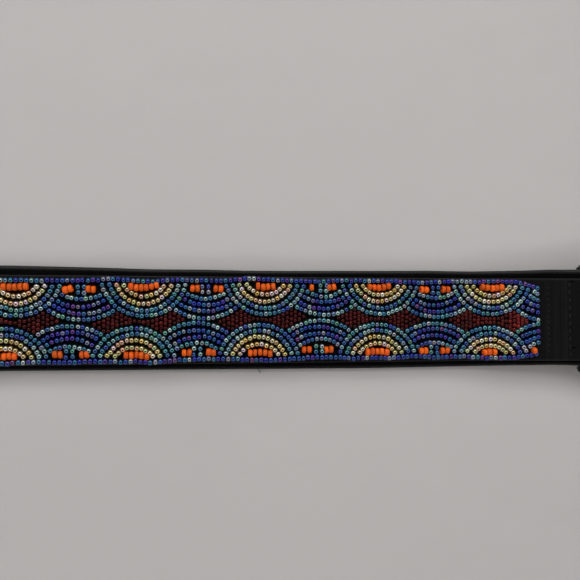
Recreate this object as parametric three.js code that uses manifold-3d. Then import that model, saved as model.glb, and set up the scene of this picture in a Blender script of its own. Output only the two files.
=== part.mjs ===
// A beaded leather belt, laid out straight and flat.
// X runs along the belt with the buckle at +X, Y across it, and Z up from the surface that it lies on.
// Lengths are in millimetres. The belt is laid out from the axis of the buckle's heel bar, at X = 0,
// and the finished group is then moved so that its origin is under the middle of the whole belt.

import * as THREE from 'three';
import { mergeVertices } from 'three/addons/utils/BufferGeometryUtils.js';
import Module from 'manifold-3d';

const wasm = await Module();
wasm.setup();

// The strap: one long leather, folded round the heel bar and stitched back to itself.
const STRAP_WIDTH = 38;
const STRAP_THICKNESS = 2.2;
const BAR_TO_MIDDLE_HOLE = 762;
const MIDDLE_HOLE_TO_TIP = 115;
const TIP_LENGTH = 30;
const TIP_NOSE_WIDTH = 9;
const FLAP_LENGTH = 20;
const FOLD_SEAM_OFFSET = 7.8;
const RAMP_LENGTH = 50;
const RAMP_STEPS = 5;
const FOLD_WRAP = THREE.MathUtils.degToRad(110);
const FOLD_STEPS = 12;

// The holes in the tongue.
const HOLE_COUNT = 5;
const HOLE_PITCH = 25;
const HOLE_DIAMETER = 4.5;

// The front strip: a thinner and narrower leather that carries the beads.
const FRONT_THICKNESS = 1.2;
const FRONT_MARGIN = 2.5;
const FRONT_TAIL = 15;

// The buckle: a frame, a round heel bar and a prong in one black metal piece.
const HEEL_BAR_DIAMETER = 4;
const FRAME_LENGTH = 32;
const FRAME_HEEL_OVERHANG = 2.2;
const FRAME_SIDE_WIDTH = 5.2;
const FRAME_FRONT_WIDTH = 6;
const FRAME_THICKNESS = 4;
const FRAME_CORNER_RADIUS = 8;
const FRAME_EDGE_BEVEL = 0.8;
const PRONG_WIDTH = 3.6;
const PRONG_THICKNESS = 3;
const PRONG_SEAT_DEPTH = 0.6;
const PRONG_OVERHANG = 1.4;

// Clearances.
const LAYER_GAP = 0.3;
const FRAME_SIDE_CLEARANCE = 0.75;
const SLOT_SIDE_CLEARANCE = 0.7;
const FLOOR_CLEARANCE = 0.02;

// The beadwork: a border row along each edge, suns that hang from it, waves between the suns,
// and dark red islands along the middle. Radii are those of the rows of beads.
const PANEL_START = 20.3;
const FIRST_SUN = 40.3;
const PERIOD = 45.2;
const SUN_COUNT = 14;
const ROW_PITCH = 2.4;
const BEAD_DIAMETER = 2.3;
const ROW_VALLEY = 1.2;
const BORDER_INSET = 1.3;
const NECK_ROW = 2;
const MEETING_ROW = 1.3;
const SUN_RISE = 2.4;
const SUN_SIDES = 16;
const WAVE_RISE = 6.6;
const WAVE_SIDES = 18;
const LARGE_BEAD_DIAMETER = 2.8;
const SUN_BAR_LENGTH = 9.2;
const BAR_ROW_OFFSET = 2.65;
const CORNER_LENGTH = 15;
const CORNER_DROP = 3.2;
const ISLAND_HEIGHT = 2;
const ISLAND_END_GAP = 6;
const WELD = 0.4;

// The hand-sewn lower half lags behind the upper half by a lag that swings slowly along the belt.
const LAG_MEAN = 2.4;
const LAG_SWING = 1.6;
const LAG_LENGTH = 360;

// Sizes that follow from the ones above.
const FOLD_INNER = HEEL_BAR_DIAMETER / 2 + LAYER_GAP;
const FOLD_OUTER = FOLD_INNER + STRAP_THICKNESS;
const BAR_HEIGHT = FOLD_OUTER;
const RISE = BAR_HEIGHT + LAYER_GAP / 2;
const TIP_X = -(BAR_TO_MIDDLE_HOLE + MIDDLE_HOLE_TO_TIP);
const FRONT_WIDTH = STRAP_WIDTH - 2 * FRONT_MARGIN;
const BORDER_ROW = FRONT_WIDTH / 2 - BORDER_INSET;
const BORDER_EDGE = BORDER_ROW - BEAD_DIAMETER / 2;
const SUN_Y = BORDER_ROW + SUN_RISE;
const SUN_OUTER_ROW = SUN_Y - NECK_ROW;
const SUN_RADIUS = SUN_OUTER_ROW + BEAD_DIAMETER / 2;
const WAVE_Y = BORDER_ROW + WAVE_RISE;
const WAVE_OUTER_ROW = WAVE_Y - MEETING_ROW;
const WAVE_RADIUS = WAVE_OUTER_ROW + BEAD_DIAMETER / 2;
const PANEL_LENGTH = 2 * (FIRST_SUN - PANEL_START) + (SUN_COUNT - 1) * PERIOD;
const PANEL_END = PANEL_START + PANEL_LENGTH;
const BEAD_BASE = STRAP_THICKNESS + LAYER_GAP + FRONT_THICKNESS + LAYER_GAP;
const FRAME_INNER_WIDTH = STRAP_WIDTH + 2 * FRAME_SIDE_CLEARANCE;
const FRAME_WIDTH = FRAME_INNER_WIDTH + 2 * FRAME_SIDE_WIDTH;

const LEATHER_BLACK = new THREE.Color(0.028, 0.026, 0.027);
const FRONT_BLACK = new THREE.Color(0.034, 0.032, 0.033);
const METAL_BLACK = new THREE.Color(0.012, 0.012, 0.013);
const BEAD_BLUE = new THREE.Color(0.03, 0.12, 0.32);
const BEAD_GARNET = new THREE.Color(0.16, 0.012, 0.018);

// A closed BufferGeometry as a solid that can be joined and cut.
function toSolid(geometry) {
  const bare = geometry.index ? geometry.toNonIndexed() : geometry.clone();
  bare.deleteAttribute('normal');
  bare.deleteAttribute('uv');
  const merged = mergeVertices(bare, 1e-4);
  const corners = merged.index.array;
  const triVerts = [];
  for (let i = 0; i < corners.length; i += 3) {
    const [a, b, c] = [corners[i], corners[i + 1], corners[i + 2]];
    if (a !== b && b !== c && c !== a) triVerts.push(a, b, c);
  }
  return new wasm.Manifold(new wasm.Mesh({
    numProp: 3,
    vertProperties: new Float32Array(merged.attributes.position.array),
    triVerts: new Uint32Array(triVerts),
  }));
}

// A solid back as a BufferGeometry.
function toGeometry(solid) {
  const { vertProperties, triVerts, numProp } = solid.getMesh();
  const positions = new Float32Array((vertProperties.length / numProp) * 3);
  for (let i = 0; i < positions.length / 3; i += 1) {
    for (let axis = 0; axis < 3; axis += 1) positions[3 * i + axis] = vertProperties[numProp * i + axis];
  }
  const geometry = new THREE.BufferGeometry();
  geometry.setAttribute('position', new THREE.BufferAttribute(positions, 3));
  geometry.setIndex(new THREE.BufferAttribute(new Uint32Array(triVerts), 1));
  return geometry;
}

const joinAll = (solids) => solids.reduce((sum, solid) => sum.add(solid));

// A closed outline in plan, given as a Shape in X and Y, raised from one height to another.
function raisePlan(shape, low, high) {
  const geometry = new THREE.ExtrudeGeometry(shape, { depth: high - low, bevelEnabled: false });
  return toSolid(geometry.translate(0, 0, low));
}

// A closed side view, given as points in X and Z, carried across the belt.
function carryAcross(points, width) {
  const shape = new THREE.Shape(points.map(([x, z]) => new THREE.Vector2(x, z)));
  const geometry = new THREE.ExtrudeGeometry(shape, { depth: width, bevelEnabled: false });
  return toSolid(geometry.rotateX(Math.PI / 2).translate(0, width / 2, 0));
}

// A ridge with a gabled section, lying along X between two places, centred on one row.
function ridge(from, to, row, width, height) {
  const shape = new THREE.Shape([
    new THREE.Vector2(-width / 2, 0),
    new THREE.Vector2(width / 2, 0),
    new THREE.Vector2(width / 2, ROW_VALLEY),
    new THREE.Vector2(width / 4, height),
    new THREE.Vector2(-width / 4, height),
    new THREE.Vector2(-width / 2, ROW_VALLEY),
  ]);
  const geometry = new THREE.ExtrudeGeometry(shape, { depth: to - from, bevelEnabled: false });
  return toSolid(geometry.rotateX(Math.PI / 2).rotateZ(Math.PI / 2).translate(from, row, BEAD_BASE));
}

function block(x0, x1, y0, y1, z0, z1) {
  const geometry = new THREE.BoxGeometry(x1 - x0, y1 - y0, z1 - z0);
  return toSolid(geometry.translate((x0 + x1) / 2, (y0 + y1) / 2, (z0 + z1) / 2));
}

// How far the strap is lifted off the surface where it climbs to the heel bar: an S-curve along X.
function lift(x) {
  const share = THREE.MathUtils.clamp((x + FOLD_SEAM_OFFSET + RAMP_LENGTH) / RAMP_LENGTH, 0, 1);
  return RISE * share * share * (3 - 2 * share);
}

// The places along X where the lifted layers change slope, from the flat strap to the fold's seam.
const RAMP_PLACES = Array.from(
  { length: RAMP_STEPS + 1 },
  (_, step) => -(FOLD_SEAM_OFFSET + RAMP_LENGTH) + (RAMP_LENGTH * step) / RAMP_STEPS,
);

// Splits each triangle that crosses the place x in two or three, so that none spans it.
function cutTriangles(points, triangles, x) {
  const cuts = new Map();
  const cutEdge = (a, b) => {
    const key = a < b ? `${a},${b}` : `${b},${a}`;
    if (!cuts.has(key)) {
      const [p, q] = a < b ? [points[a], points[b]] : [points[b], points[a]];
      const t = (x - p[0]) / (q[0] - p[0]);
      cuts.set(key, points.push([x, p[1] + t * (q[1] - p[1]), p[2] + t * (q[2] - p[2])]) - 1);
    }
    return cuts.get(key);
  };
  const side = (i) => (Math.abs(points[i][0] - x) < 1e-3 ? 0 : Math.sign(points[i][0] - x));
  return triangles.flatMap((triangle) => {
    for (let turn = 0; turn < 3; turn += 1) {
      const [a, b, c] = [0, 1, 2].map((corner) => triangle[(corner + turn) % 3]);
      const sides = [side(a), side(b), side(c)];
      if (sides[0] === 0 && sides[1] * sides[2] < 0) {
        const cut = cutEdge(b, c);
        return [[a, b, cut], [a, cut, c]];
      }
      if (sides[0] !== 0 && sides[1] === sides[2] && sides[0] * sides[1] < 0) {
        const first = cutEdge(a, b);
        const last = cutEdge(c, a);
        return [[a, first, last], [first, b, c], [first, c, last]];
      }
    }
    return [triangle];
  });
}

// Lays a solid that was modelled over the flat strap onto the strap's climb to the buckle.
function layOnRamp(solid) {
  const mesh = solid.getMesh();
  const points = [];
  for (let i = 0; i < mesh.vertProperties.length; i += mesh.numProp) {
    points.push([mesh.vertProperties[i], mesh.vertProperties[i + 1], mesh.vertProperties[i + 2]]);
  }
  let triangles = [];
  for (let i = 0; i < mesh.triVerts.length; i += 3) {
    triangles.push([mesh.triVerts[i], mesh.triVerts[i + 1], mesh.triVerts[i + 2]]);
  }
  for (const place of RAMP_PLACES) triangles = cutTriangles(points, triangles, place);
  const lifted = points.flatMap(([x, y, z]) => [x, y, z + lift(x)]);
  const geometry = new THREE.BufferGeometry();
  geometry.setAttribute('position', new THREE.BufferAttribute(new Float32Array(lifted), 3));
  geometry.setIndex(triangles.flat());
  return geometry;
}

// Points on an arc round the heel bar, from one angle to another, measured from +X towards +Z.
function arcRoundBar(radius, from, to) {
  return Array.from({ length: FOLD_STEPS + 1 }, (_, step) => {
    const angle = from + ((to - from) * step) / FOLD_STEPS;
    return [radius * Math.cos(angle), BAR_HEIGHT + radius * Math.sin(angle)];
  });
}

// The strap's top line in side view, from the tip to where the fold begins.
function topLine() {
  const climb = RAMP_PLACES.map((x) => [x, lift(x) + STRAP_THICKNESS]);
  return [[TIP_X, STRAP_THICKNESS], ...climb, arcRoundBar(FOLD_OUTER, FOLD_WRAP, 0)[0]];
}

// The tongue's outline in plan: straight sides, then two soft curves to a blunt nose.
function strapPlan() {
  const half = STRAP_WIDTH / 2;
  const nose = TIP_NOSE_WIDTH / 2;
  const end = FOLD_OUTER + 1;
  const shape = new THREE.Shape();
  shape.moveTo(end, -half);
  shape.lineTo(end, half);
  shape.lineTo(TIP_X + TIP_LENGTH, half);
  shape.quadraticCurveTo(TIP_X + TIP_LENGTH / 3, half * 0.9, TIP_X, nose);
  shape.lineTo(TIP_X, -nose);
  shape.quadraticCurveTo(TIP_X + TIP_LENGTH / 3, -half * 0.9, TIP_X + TIP_LENGTH, -half);
  return shape;
}

function makeStrap() {
  const flapTop = RAMP_PLACES.filter((x) => x > -FLAP_LENGTH);
  const flapLine = [-FLAP_LENGTH, ...flapTop];
  const under = RAMP_PLACES.map((x) => [x, lift(x)]).reverse();
  const outline = [
    ...topLine().slice(0, -1),
    ...arcRoundBar(FOLD_OUTER, FOLD_WRAP, -FOLD_WRAP),
    ...flapLine.map((x) => [x, lift(x) - LAYER_GAP - STRAP_THICKNESS]).reverse(),
    ...flapLine.map((x) => [x, lift(x) - LAYER_GAP]),
    ...arcRoundBar(FOLD_INNER, -FOLD_WRAP, FOLD_WRAP),
    ...under,
    [TIP_X, 0],
  ];
  const height = BAR_HEIGHT + FOLD_OUTER;
  let strap = carryAcross(outline.reverse(), STRAP_WIDTH);
  strap = strap.intersect(raisePlan(strapPlan(), -1, height + 1));
  for (let i = 0; i < HOLE_COUNT; i += 1) {
    const x = -(BAR_TO_MIDDLE_HOLE + (i - (HOLE_COUNT - 1) / 2) * HOLE_PITCH);
    const punch = new THREE.CylinderGeometry(HOLE_DIAMETER / 2, HOLE_DIAMETER / 2, 3 * STRAP_THICKNESS, 16);
    strap = strap.subtract(toSolid(punch.rotateX(Math.PI / 2).translate(x, 0, 0)));
  }
  const slotHalf = PRONG_WIDTH / 2 + SLOT_SIDE_CLEARANCE;
  const slot = block(LAYER_GAP, FOLD_OUTER + 1, -slotHalf, slotHalf, -1, height + 1);
  return toGeometry(strap.subtract(slot));
}

function makeFrontStrip() {
  const line = topLine().filter(([x]) => x > -(PANEL_END + FRONT_TAIL));
  line.unshift([-(PANEL_END + FRONT_TAIL), STRAP_THICKNESS]);
  const under = line.map(([x, z]) => [x, z + LAYER_GAP]);
  const top = line.map(([x, z]) => [x, z + LAYER_GAP + FRONT_THICKNESS]).reverse();
  return toGeometry(carryAcross([...under, ...top], FRONT_WIDTH));
}

function roundedFrame() {
  const outline = (x0, x1, halfWidth, radius, path) => {
    path.moveTo(x0 + radius, -halfWidth);
    path.lineTo(x1 - radius, -halfWidth);
    path.absarc(x1 - radius, -halfWidth + radius, radius, -Math.PI / 2, 0);
    path.absarc(x1 - radius, halfWidth - radius, radius, 0, Math.PI / 2);
    path.absarc(x0 + radius, halfWidth - radius, radius, Math.PI / 2, Math.PI);
    path.absarc(x0 + radius, -halfWidth + radius, radius, Math.PI, 1.5 * Math.PI);
    return path;
  };
  const front = FRAME_LENGTH + FRAME_HEEL_OVERHANG;
  const shape = outline(-FRAME_HEEL_OVERHANG, front, FRAME_WIDTH / 2, FRAME_CORNER_RADIUS, new THREE.Shape());
  const innerRadius = FRAME_CORNER_RADIUS - FRAME_SIDE_WIDTH;
  const windowStart = HEEL_BAR_DIAMETER / 2;
  const windowEnd = front - FRAME_FRONT_WIDTH;
  shape.holes.push(outline(windowStart, windowEnd, FRAME_INNER_WIDTH / 2, innerRadius, new THREE.Path()));
  const geometry = new THREE.ExtrudeGeometry(shape, {
    depth: FRAME_THICKNESS - 2 * FRAME_EDGE_BEVEL,
    curveSegments: 5,
    bevelThickness: FRAME_EDGE_BEVEL,
    bevelSize: FRAME_EDGE_BEVEL,
    bevelOffset: -FRAME_EDGE_BEVEL,
    bevelSegments: 1,
  });
  return toSolid(geometry.translate(0, 0, FRAME_EDGE_BEVEL - FRAME_THICKNESS / 2));
}

function prong() {
  const half = PRONG_THICKNESS / 2;
  const front = FRAME_LENGTH + FRAME_HEEL_OVERHANG;
  const seat = FRAME_THICKNESS / 2 - PRONG_SEAT_DEPTH;
  const inside = front - FRAME_FRONT_WIDTH;
  return carryAcross([
    [0, -half],
    [inside, seat],
    [front + PRONG_OVERHANG / 2, seat],
    [front + PRONG_OVERHANG, seat + half / 2],
    [front + PRONG_OVERHANG / 2, seat + PRONG_THICKNESS * 0.8],
    [inside, seat + PRONG_THICKNESS],
    [0, half],
  ], PRONG_WIDTH);
}

function makeBuckle() {
  const halfWindow = FRAME_INNER_WIDTH / 2;
  const heelCut = block(
    -FRAME_HEEL_OVERHANG - 1, HEEL_BAR_DIAMETER + FRAME_CORNER_RADIUS, -halfWindow, halfWindow,
    -FRAME_THICKNESS, FRAME_THICKNESS,
  );
  const radius = HEEL_BAR_DIAMETER / 2;
  const heelBar = toSolid(new THREE.CylinderGeometry(radius, radius, FRAME_INNER_WIDTH + FRAME_SIDE_WIDTH, 16));
  const front = FRAME_LENGTH + FRAME_HEEL_OVERHANG;
  const drop = BAR_HEIGHT - FRAME_THICKNESS / 2 - FLOOR_CLEARANCE;
  const geometry = toGeometry(roundedFrame().subtract(heelCut).add(heelBar).add(prong()));
  return geometry.rotateY(Math.asin(drop / front)).translate(0, 0, BAR_HEIGHT);
}

// How far the lower half's pattern lies behind the upper half's at the place x.
const lag = (x) => LAG_MEAN - LAG_SWING * Math.cos((2 * Math.PI * (x + FIRST_SUN)) / LAG_LENGTH);

// The centres of one edge's suns or waves, as places along X. Side is 1 for the upper edge, -1 for the lower.
function motifPlaces(side, first, count) {
  return Array.from({ length: count }, (_, i) => {
    const x = first - i * PERIOD;
    return side > 0 ? x : x - lag(x);
  });
}

const sunPlaces = (side) => motifPlaces(side, -FIRST_SUN, SUN_COUNT);
const wavePlaces = (side) => motifPlaces(side, PERIOD / 2 - FIRST_SUN, SUN_COUNT + 1);

// A round stack of concentric rows: a flat centre, then one low ridge for each pair of radii.
function ringStack(x, y, sides, centreRadius, bands) {
  const profile = [[0, 0], [bands.at(-1)[1], 0]];
  for (const [inner, outer] of [...bands].reverse()) {
    profile.push([outer, ROW_VALLEY], [(inner + outer) / 2, BEAD_DIAMETER]);
  }
  profile.push([centreRadius, ROW_VALLEY], [0, ROW_VALLEY]);
  const points = profile.map(([radius, height]) => new THREE.Vector2(radius, height));
  const geometry = new THREE.LatheGeometry(points, sides);
  return toSolid(geometry.rotateX(Math.PI / 2).translate(x, y, BEAD_BASE));
}

// A plain disc with the same sides as a ring stack, to cut with.
function disc(x, y, sides, radius) {
  const geometry = new THREE.LatheGeometry([
    new THREE.Vector2(0, -1), new THREE.Vector2(radius, -1),
    new THREE.Vector2(radius, 2 * LARGE_BEAD_DIAMETER), new THREE.Vector2(0, 2 * LARGE_BEAD_DIAMETER),
  ], sides);
  return toSolid(geometry.rotateX(Math.PI / 2).translate(x, y, BEAD_BASE));
}

// The beaded panel's outline in plan, with corners that draw in towards each end.
function panelPlan() {
  const half = BORDER_ROW + BEAD_DIAMETER / 2;
  const [near, far] = [-PANEL_START, -PANEL_END];
  const corner = half - CORNER_DROP;
  const shape = new THREE.Shape();
  shape.moveTo(near, -corner);
  shape.lineTo(near, corner);
  shape.quadraticCurveTo(near - CORNER_LENGTH / 2, half, near - CORNER_LENGTH, half);
  shape.lineTo(far + CORNER_LENGTH, half);
  shape.quadraticCurveTo(far + CORNER_LENGTH / 2, half, far, corner);
  shape.lineTo(far, -corner);
  shape.quadraticCurveTo(far + CORNER_LENGTH / 2, -half, far + CORNER_LENGTH, -half);
  shape.lineTo(near - CORNER_LENGTH, -half);
  shape.quadraticCurveTo(near - CORNER_LENGTH / 2, -half, near, -corner);
  return raisePlan(shape, BEAD_BASE - 1, BEAD_BASE + 2 * LARGE_BEAD_DIAMETER);
}

// One edge's beadwork as one solid: its border row, its waves, and its suns with their bars of large beads.
function makeBeadField(side, panel) {
  const twoRows = ROW_PITCH + BEAD_DIAMETER;
  const sunBands = [
    [SUN_RADIUS - ROW_PITCH - twoRows, SUN_RADIUS - twoRows],
    [SUN_RADIUS - twoRows, SUN_RADIUS],
  ];
  const waveInner = WAVE_RADIUS - 2 * ROW_PITCH - twoRows;
  const waveBands = [
    [waveInner, WAVE_RADIUS - BEAD_DIAMETER],
    [WAVE_RADIUS - BEAD_DIAMETER, WAVE_RADIUS],
  ];
  const barRow = side * (BORDER_ROW - BAR_ROW_OFFSET);
  const barSides = [barRow - LARGE_BEAD_DIAMETER / 2, barRow + LARGE_BEAD_DIAMETER / 2];
  const suns = sunPlaces(side);
  let waves = joinAll(
    wavePlaces(side).map((x) => ringStack(x, side * WAVE_Y, WAVE_SIDES, waveInner, waveBands)),
  );
  for (const x of suns) waves = waves.subtract(disc(x, side * SUN_Y, SUN_SIDES, SUN_RADIUS - WELD));
  const sunStacks = suns.map((x) => ringStack(x, side * SUN_Y, SUN_SIDES, sunBands[0][0], sunBands));
  const [low, high] = side > 0 ? [0, BORDER_EDGE + WELD] : [-BORDER_EDGE - WELD, 0];
  const band = block(-PANEL_END - 1, -PANEL_START + 1, low, high, BEAD_BASE - 1, BEAD_BASE + BEAD_DIAMETER + 1);
  const motifs = joinAll([waves, ...sunStacks]).intersect(band);
  const half = SUN_BAR_LENGTH / 2;
  const barTop = BEAD_BASE + LARGE_BEAD_DIAMETER;
  const bars = suns.map((x) => block(x - half, x + half, ...barSides, BEAD_BASE, barTop));
  const border = ridge(-PANEL_END - 1, -PANEL_START + 1, side * BORDER_ROW, BEAD_DIAMETER, BEAD_DIAMETER);
  return layOnRamp(joinAll([motifs, ...bars, border]).intersect(panel));
}

// One dark red island: two diamonds and the single row between them, in the space that the suns and waves leave.
function makeIsland(index, panel) {
  const sunUpper = sunPlaces(1)[index];
  const sunLower = sunPlaces(-1)[index];
  const middle = (sunUpper + sunLower) / 2;
  const half = PERIOD / 2 - ISLAND_END_GAP;
  let island = block(middle - half, middle + half, -SUN_Y, SUN_Y, BEAD_BASE, BEAD_BASE + ISLAND_HEIGHT);
  for (const side of [1, -1]) {
    const suns = sunPlaces(side);
    const waves = wavePlaces(side);
    island = island.subtract(disc(suns[index], side * SUN_Y, SUN_SIDES, SUN_RADIUS + LAYER_GAP));
    for (const x of [waves[index], waves[index + 1]]) {
      island = island.subtract(disc(x, side * WAVE_Y, WAVE_SIDES, WAVE_RADIUS + LAYER_GAP));
    }
  }
  return layOnRamp(island.intersect(panel));
}

function addPiece(group, name, geometry, color, roughness, metalness = 0) {
  const flat = geometry.toNonIndexed();
  flat.computeVertexNormals();
  const piece = new THREE.Mesh(flat, new THREE.MeshStandardMaterial({ color, roughness, metalness }));
  piece.name = name;
  group.add(piece);
}

const belt = new THREE.Group();
const panel = panelPlan();
addPiece(belt, 'strap', makeStrap(), LEATHER_BLACK, 0.55);
addPiece(belt, 'front_strip', makeFrontStrip(), FRONT_BLACK, 0.5);
addPiece(belt, 'buckle', makeBuckle(), METAL_BLACK, 0.35, 0.8);
addPiece(belt, 'bead_field_upper', makeBeadField(1, panel), BEAD_BLUE, 0.2);
addPiece(belt, 'bead_field_lower', makeBeadField(-1, panel), BEAD_BLUE, 0.2);
for (let i = 0; i < SUN_COUNT; i += 1) {
  addPiece(belt, `garnet_island_${String(i + 1).padStart(2, '0')}`, makeIsland(i, panel), BEAD_GARNET, 0.25);
}

const box = new THREE.Box3().setFromObject(belt);
belt.position.x = -(box.min.x + box.max.x) / 2;

export default belt;
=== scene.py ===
# %% [markdown]
# # A beaded leather belt
#
# The belt is a long black strap, folded round the heel bar of a black buckle. A thinner
# leather lies on three quarters of it, and rows of glass seed beads are sewn to that leather.
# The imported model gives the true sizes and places. This script dresses it: every solid is
# replaced by a finer piece in the same place, and each bead is a real little ring of glass.

import bmesh
import bpy
import numpy as np
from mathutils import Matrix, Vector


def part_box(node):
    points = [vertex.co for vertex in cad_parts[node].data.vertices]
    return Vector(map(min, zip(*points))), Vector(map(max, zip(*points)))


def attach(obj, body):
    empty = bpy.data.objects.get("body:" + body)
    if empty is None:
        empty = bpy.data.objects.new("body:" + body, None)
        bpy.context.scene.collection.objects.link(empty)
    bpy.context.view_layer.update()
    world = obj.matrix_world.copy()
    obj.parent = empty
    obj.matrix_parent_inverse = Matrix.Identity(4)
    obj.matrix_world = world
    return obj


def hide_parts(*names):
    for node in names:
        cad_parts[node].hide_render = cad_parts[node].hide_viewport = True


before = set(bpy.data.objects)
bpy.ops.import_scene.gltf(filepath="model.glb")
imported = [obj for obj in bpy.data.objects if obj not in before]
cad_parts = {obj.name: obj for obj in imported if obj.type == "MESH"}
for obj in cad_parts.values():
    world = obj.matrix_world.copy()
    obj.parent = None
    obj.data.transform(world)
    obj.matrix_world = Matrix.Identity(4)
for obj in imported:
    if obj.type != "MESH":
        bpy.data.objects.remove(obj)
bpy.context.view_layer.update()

# %% [markdown]
# ## One place to measure from
#
# A belt is sized from the axis of its heel bar, so every length below is in millimetres
# from that axis: X is negative towards the tip. The bar sits where the strap's fold ends,
# one outer fold radius behind the strap's furthest point.

# %% The belt's measures, in millimetres from the heel bar
MM = 0.001
STRAP_WIDTH, STRAP_THICKNESS = 38.0, 2.2
FOLD_INNER, FOLD_OUTER = 2.3, 4.5
BAR_HEIGHT = 4.5
RISE, RAMP_LENGTH, FOLD_SEAM = 4.65, 50.0, 7.8
FLAP_LENGTH, LAYER_GAP = 20.0, 0.3
TIP_X, TIP_LENGTH, TIP_NOSE = -877.0, 30.0, 9.0
FRONT_WIDTH, FRONT_TOP, FRONT_END = 33.0, 3.7, -662.9
PANEL_NEAR, PANEL_FAR = -20.3, -647.9

heel_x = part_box("strap")[1].x - FOLD_OUTER * MM


def to_frame(points):
    """Millimetres from the heel bar, as metres in the frame: point × 0.001, then moved along X."""
    return np.asarray(points, dtype=float) * MM + np.array([heel_x, 0.0, 0.0])


def lift(x):
    """How far the strap has risen at x: rise × s² × (3 − 2s), where s goes from 0 to 1 up the ramp."""
    s = np.clip((np.asarray(x, dtype=float) + FOLD_SEAM + RAMP_LENGTH) / RAMP_LENGTH, 0.0, 1.0)
    return RISE * s * s * (3.0 - 2.0 * s)


print("heel bar at X =", round(heel_x, 4), "m; lift at the seam:", float(lift(-FOLD_SEAM)), "mm")

# %% [markdown]
# ## The camera
#
# The photograph was taken from 24 cm above the belt and 15 cm to the left of the buckle. The
# straight edges of the strap, its bead pitch and the panel's end gave the distance, the side
# lean and the small tilt across the belt.

# %% The camera
FRAME_PIXELS, FOCAL_PIXELS, SENSOR = 580, 628.0, 36.0
CAMERA_AT = np.array([-154.4, 3.05, 243.7])
CAMERA_TURN = np.radians([2.0, -7.92, 0.0])


def put(name, data):
    """An object that holds the given data, linked to the scene."""
    thing = bpy.data.objects.new(name, data)
    bpy.context.scene.collection.objects.link(thing)
    return thing


camera = put("camera", bpy.data.cameras.new("camera"))
camera.data.sensor_width = SENSOR
camera.data.lens = FOCAL_PIXELS / FRAME_PIXELS * SENSOR
camera.data.clip_start = 0.01
camera.location = to_frame(CAMERA_AT)
camera.rotation_euler = CAMERA_TURN
bpy.context.scene.camera = camera
bpy.context.scene.view_settings.view_transform = "Standard"
print("lens:", round(camera.data.lens, 2), "mm")

# %% [markdown]
# ## Shared helpers
#
# Every piece is a grid of points worked out as whole arrays. One helper numbers the faces of
# a grid, one turns points and faces into an object, and two tidy the finished mesh.

# %% Grids and meshes
def grid_faces(rows, columns, wrap_rows=False):
    """Four corners for each cell of a grid, counted row by row. Each row closes on itself, and the rows can too."""
    r = np.arange(rows if wrap_rows else rows - 1)[:, None]
    c = np.arange(columns)[None, :]
    r2, c2 = (r + 1) % rows, (c + 1) % columns
    return np.stack([r * columns + c, r2 * columns + c, r2 * columns + c2, r * columns + c2], -1).reshape(-1, 4)


def make_piece(name, points, faces, material, colours=None, wear_and_highlight=None):
    """A named mesh object from points in millimetres, its faces, and values that lie on its points."""
    mesh = bpy.data.meshes.new(name)
    mesh.from_pydata(to_frame(points), [], faces)
    mesh.shade_smooth()
    if colours is not None:
        rgba = np.column_stack([colours, np.ones(len(colours))]).astype(np.float32)
        mesh.attributes.new("bead_colour", "FLOAT_COLOR", "POINT").data.foreach_set("color", rgba.ravel())
    if wear_and_highlight is not None:
        mesh.attributes.new("wear_and_highlight", "FLOAT", "POINT").data.foreach_set("value", wear_and_highlight.astype(np.float32).ravel())
    mesh.materials.append(material)
    piece = put(name, mesh)
    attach(piece, "root")
    return piece


def recalculate(piece):
    """Turns every face of a closed mesh outwards."""
    bm = bmesh.new()
    bm.from_mesh(piece.data)
    bmesh.ops.recalc_face_normals(bm, faces=bm.faces)
    bm.to_mesh(piece.data)
    bm.free()


def sharpen(piece, degrees=40.0):
    """Marks each edge where two faces meet at more than the given angle, so that it shades crisply."""
    bm = bmesh.new()
    bm.from_mesh(piece.data)
    limit = np.radians(degrees)
    for edge in bm.edges:
        edge.smooth = edge.calc_face_angle(0.0) < limit
    bm.to_mesh(piece.data)
    bm.free()


# %% [markdown]
# ## Node helpers
#
# A finish that several materials share is a node group. The helpers below add nodes and
# links in one line each, so that a finish reads like a recipe.

# %% Building materials
def add_node(tree, kind, **settings):
    """Adds a node, sets its own options, and gives the numbers or links named by its inputs."""
    node = tree.nodes.new(kind)
    inputs = settings.pop("inputs", {})
    for key, value in settings.items():
        setattr(node, key, value)
    for key, value in inputs.items():
        if isinstance(value, bpy.types.NodeSocket):
            tree.links.new(value, node.inputs[key])
        else:
            node.inputs[key].default_value = value
    return node


def new_group(name, inputs, outputs):
    """A shader node group with named inputs, their first values, and named outputs: numbers or colours."""
    group = bpy.data.node_groups.new(name, "ShaderNodeTree")
    for socket, value in inputs.items():
        kind = "NodeSocketColor" if isinstance(value, tuple) else "NodeSocketFloat"
        group.interface.new_socket(socket, in_out="INPUT", socket_type=kind).default_value = value
    for socket in outputs:
        kind = "NodeSocketColor" if socket == "Color" else "NodeSocketFloat"
        group.interface.new_socket(socket, in_out="OUTPUT", socket_type=kind)
    return group, group.nodes.new("NodeGroupInput"), group.nodes.new("NodeGroupOutput")


def new_material(name, **values):
    """A material with one Principled shader, whose plain numbers are set by name."""
    material = bpy.data.materials.new(name)
    material.use_nodes = True
    shader = material.node_tree.nodes["Principled BSDF"]
    for key, value in values.items():
        shader.inputs[key.replace("_", " ")].default_value = value
    return material, material.node_tree, shader


def feed(tree, shader, **links):
    """Links a socket to each named input of the shader."""
    for key, socket in links.items():
        tree.links.new(socket, shader.inputs[key.replace("_", " ")])


def add_bump(tree, strength, distance, height, **more):
    """A normal bent by a height, with the depth of its bumps in metres."""
    return add_node(tree, "ShaderNodeBump", inputs={
        "Strength": strength, "Distance": distance, "Height": height, **more}).outputs["Normal"]


print("helpers ready")
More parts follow.
